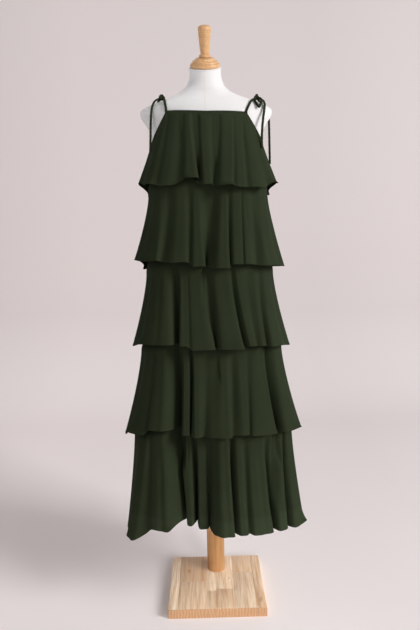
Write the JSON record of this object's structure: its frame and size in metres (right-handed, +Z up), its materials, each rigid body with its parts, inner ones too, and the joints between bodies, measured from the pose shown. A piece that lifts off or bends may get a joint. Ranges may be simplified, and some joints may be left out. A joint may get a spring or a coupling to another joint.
{
  "type": "tiered chiffon dress on a dress form",
  "caption": "Sleeveless tiered chiffon dress with tied shoulder straps, standing on a limbless dress form with a turned wooden neck, a round pole and a square board.",
  "frame": {"origin": "middle of the square board's underside, where the stand rests on the floor", "axes": "+Z up along the pole, -Y to the front of the dress, +X to the viewer's right when facing the front"},
  "size_m": [0.5521, 0.4581, 1.7356],
  "materials": {
    "chiffon": "matt dark olive green chiffon, fine weave, slightly sheer",
    "lining": "dark olive green lining cloth, soft low sheen",
    "form": "off-white matt cloth cover, smooth",
    "wood": "turned wood, satin varnish",
    "board": "edge-glued pale wood board, satin varnish"
  },
  "bodies": {
    "root": {"armhole_binding_left": "chiffon", "armhole_binding_right": "chiffon", "base_board": "board", "bow_left": "chiffon", "bow_right": "chiffon", "dress_form": "form", "lining_back": "lining", "lining_front": "lining", "neck_binding_back": "chiffon", "neck_binding_front": "chiffon", "neck_cap": "wood", "neck_collar": "wood", "neck_handle": "wood", "pole": "wood", "strap_left_back": "chiffon", "strap_left_front": "chiffon", "strap_right_back": "chiffon", "strap_right_front": "chiffon", "tail_left_back": "chiffon", "tail_left_front": "chiffon", "tail_right_back": "chiffon", "tail_right_front": "chiffon", "tier_1_back": "chiffon", "tier_1_front": "chiffon", "tier_2_back": "chiffon", "tier_2_front": "chiffon", "tier_3_back": "chiffon", "tier_3_front": "chiffon", "tier_4_back": "chiffon", "tier_4_front": "chiffon", "tier_5_back": "chiffon", "tier_5_front": "chiffon"}
  },
  "joints": []
}
